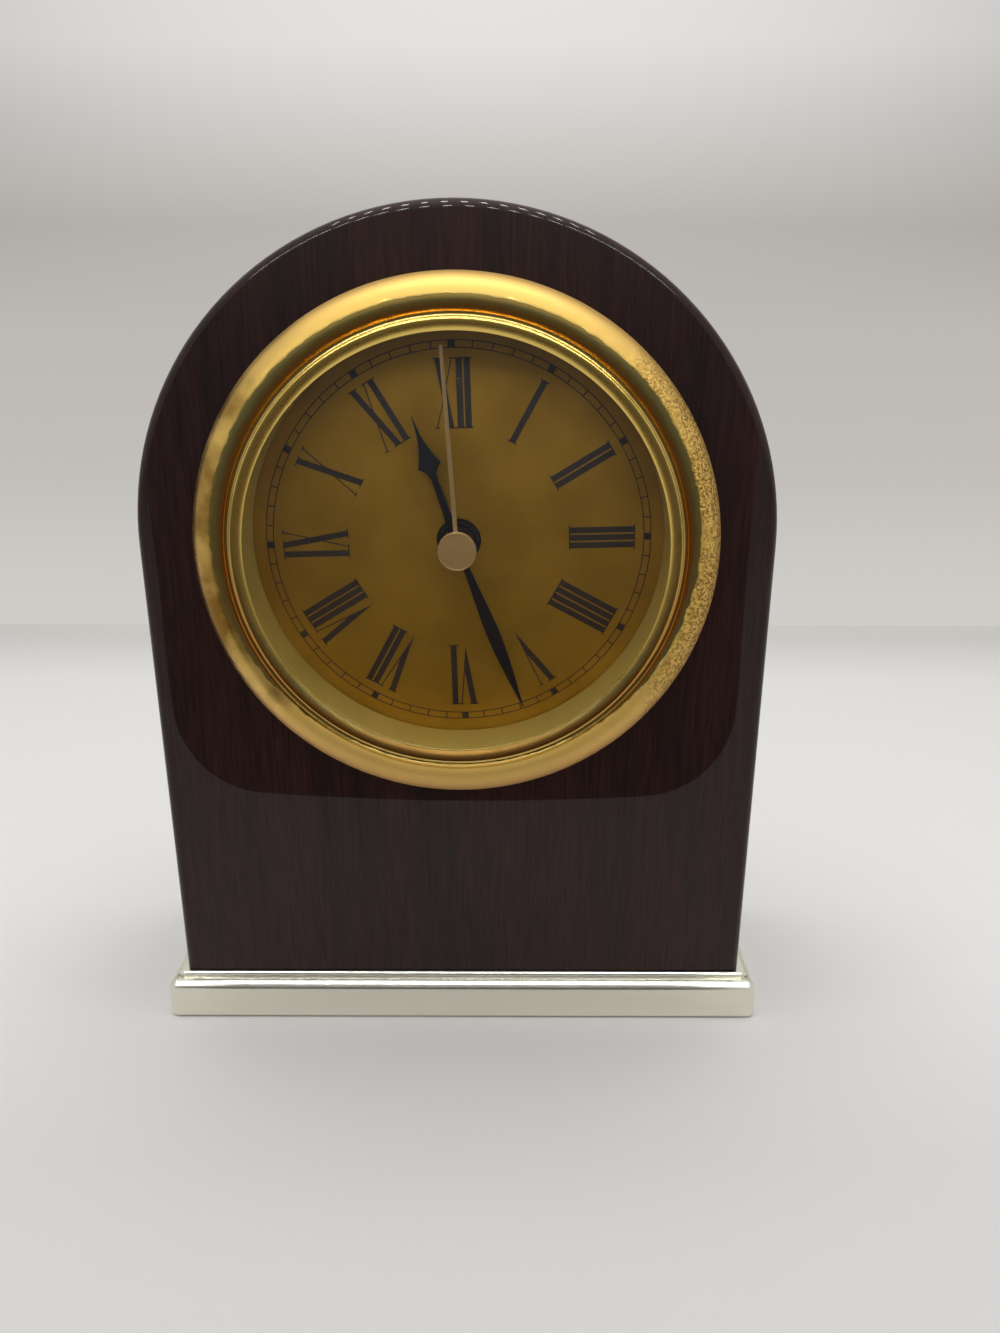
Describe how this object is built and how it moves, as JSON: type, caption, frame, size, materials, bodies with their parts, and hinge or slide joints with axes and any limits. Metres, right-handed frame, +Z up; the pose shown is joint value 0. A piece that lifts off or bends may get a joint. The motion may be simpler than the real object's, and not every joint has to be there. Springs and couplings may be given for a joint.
{
  "type": "desk alarm clock",
  "caption": "Arched glossy wooden desk clock on a stepped metal base, with a round gold quartz alarm insert, Roman dial, rear knobs, alarm switch and battery door.",
  "frame": {"origin": "centre of the underside of the base, on the surface the clock stands on, midway between the front and back of the wooden case", "axes": "+Z up, +X to the right as seen from the front, -Y the way the dial faces"},
  "size_m": [0.1142, 0.0462, 0.1474],
  "materials": {
    "rosewood": "dark rosewood grain under clear high-gloss lacquer",
    "silver_metal": "polished pressed sheet, silver toned",
    "gold_metal": "polished and gold plated",
    "dial_gold": "satin gold with dark printing",
    "cream_plastic": "satin, pale gold coloured",
    "glass": "clear and polished",
    "black_metal": "black lacquered sheet",
    "black_plastic": "moulded, fine texture",
    "white_plastic": "moulded",
    "grey_plastic": "moulded",
    "brass": "stamped and cut",
    "steel": "bright",
    "copper": "enamelled wire and spring copper",
    "board_green": "glass-fibre board",
    "cell_jacket": "plain printed jacket",
    "felt": "wool felt",
    "fibreboard": "raw fibreboard",
    "rubber": "ribbed band"
  },
  "bodies": {
    "case": {"wood_case": "rosewood", "base_shell": "silver_metal", "base_core": "fibreboard", "base_felt": "felt", "base_screw_left": "steel", "base_screw_right": "steel", "bezel": "gold_metal", "lens": "glass", "dial_ring": "cream_plastic", "dial": "dial_gold", "insert_housing": "black_plastic", "grip_ring": "rubber", "train_bridge": "steel", "bridge_screw_1": "steel", "bridge_screw_2": "steel", "bridge_screw_3": "steel", "stator": "steel", "coil_core": "steel", "coil_bobbin": "white_plastic", "coil_winding": "copper", "circuit_board": "board_green", "clock_chip": "black_plastic", "quartz_crystal": "steel", "buzzer": "brass", "switch_contact": "copper", "battery_cell": "cell_jacket", "battery_contact": "steel", "battery_spring": "steel", "rear_cover": "black_plastic", "cover_screw_1": "steel", "cover_screw_2": "steel", "cover_screw_3": "steel"},
    "second_group": {"second_hand": "gold_metal", "second_wheel": "brass"},
    "minute_group": {"minute_hand": "black_metal", "minute_pipe": "steel"},
    "hour_group": {"hour_hand": "black_metal", "hour_wheel": "brass"},
    "alarm_group": {"alarm_hand": "black_metal", "alarm_wheel": "brass"},
    "centre_wheel": {"centre_wheel": "brass"},
    "third_wheel": {"third_wheel": "brass"},
    "intermediate_wheel": {"intermediate_wheel": "white_plastic"},
    "rotor": {"rotor": "steel"},
    "minute_wheel": {"minute_wheel": "white_plastic"},
    "time_knob": {"time_knob": "black_plastic"},
    "alarm_idler": {"alarm_idler": "white_plastic"},
    "alarm_knob": {"alarm_knob": "black_plastic"},
    "alarm_switch": {"alarm_switch": "grey_plastic"},
    "battery_door": {"battery_door": "black_plastic"}
  },
  "joints": [
    {"name": "second_spin", "type": "hinge", "parent": "case", "child": "second_group", "pos_m": [0, 0, 0.09305], "axis": [0, 1, 0], "continuous": true},
    {"name": "third_spin", "type": "hinge", "parent": "case", "child": "third_wheel", "pos_m": [-0.00779, 0, 0.09755], "axis": [0, 1, 0], "continuous": true},
    {"name": "centre_spin", "type": "hinge", "parent": "case", "child": "centre_wheel", "pos_m": [0, 0, 0.09305], "axis": [0, 1, 0], "continuous": true},
    {"name": "intermediate_spin", "type": "hinge", "parent": "case", "child": "intermediate_wheel", "pos_m": [0.003, 0, 0.09825], "axis": [0, 1, 0], "continuous": true},
    {"name": "rotor_spin", "type": "hinge", "parent": "case", "child": "rotor", "pos_m": [0.00583, 0, 0.10316], "axis": [0, 1, 0], "continuous": true},
    {"name": "minute_spin", "type": "hinge", "parent": "case", "child": "minute_group", "pos_m": [0, 0, 0.09305], "axis": [0, 1, 0], "continuous": true},
    {"name": "minute_wheel_spin", "type": "hinge", "parent": "case", "child": "minute_wheel", "pos_m": [0.0084, 0, 0.09305], "axis": [0, 1, 0], "continuous": true},
    {"name": "hour_spin", "type": "hinge", "parent": "case", "child": "hour_group", "pos_m": [0, 0, 0.09305], "axis": [0, 1, 0], "continuous": true},
    {"name": "time_knob_spin", "type": "hinge", "parent": "case", "child": "time_knob", "pos_m": [0.0168, 0, 0.09305], "axis": [0, 1, 0], "continuous": true},
    {"name": "alarm_spin", "type": "hinge", "parent": "case", "child": "alarm_group", "pos_m": [0, 0, 0.09305], "axis": [0, 1, 0], "continuous": true},
    {"name": "alarm_idler_spin", "type": "hinge", "parent": "case", "child": "alarm_idler", "pos_m": [-0.01092, 0, 0.09305], "axis": [0, 1, 0], "continuous": true},
    {"name": "alarm_knob_spin", "type": "hinge", "parent": "case", "child": "alarm_knob", "pos_m": [-0.01722, 0, 0.09305], "axis": [0, 1, 0], "continuous": true},
    {"name": "alarm_switch_slide", "type": "slide", "parent": "case", "child": "alarm_switch", "axis": [1, 0, 0], "range_m": [0, 0.004]},
    {"name": "battery_door_hinge", "type": "hinge", "parent": "case", "child": "battery_door", "pos_m": [0, 0.0078, 0.0711], "axis": [-1, 0, 0], "range_deg": [0, 100]}
  ],
  "couplings": [
    {"joint": "third_spin", "follows": "second_spin", "ratio": -0.125},
    {"joint": "centre_spin", "follows": "second_spin", "ratio": 0.016667},
    {"joint": "intermediate_spin", "follows": "second_spin", "ratio": -5},
    {"joint": "rotor_spin", "follows": "second_spin", "ratio": 30},
    {"joint": "minute_wheel_spin", "follows": "minute_spin", "ratio": -0.33333},
    {"joint": "hour_spin", "follows": "minute_spin", "ratio": 0.083333},
    {"joint": "time_knob_spin", "follows": "minute_spin", "ratio": 1},
    {"joint": "alarm_idler_spin", "follows": "alarm_spin", "ratio": -1.6},
    {"joint": "alarm_knob_spin", "follows": "alarm_spin", "ratio": 3.2}
  ]
}
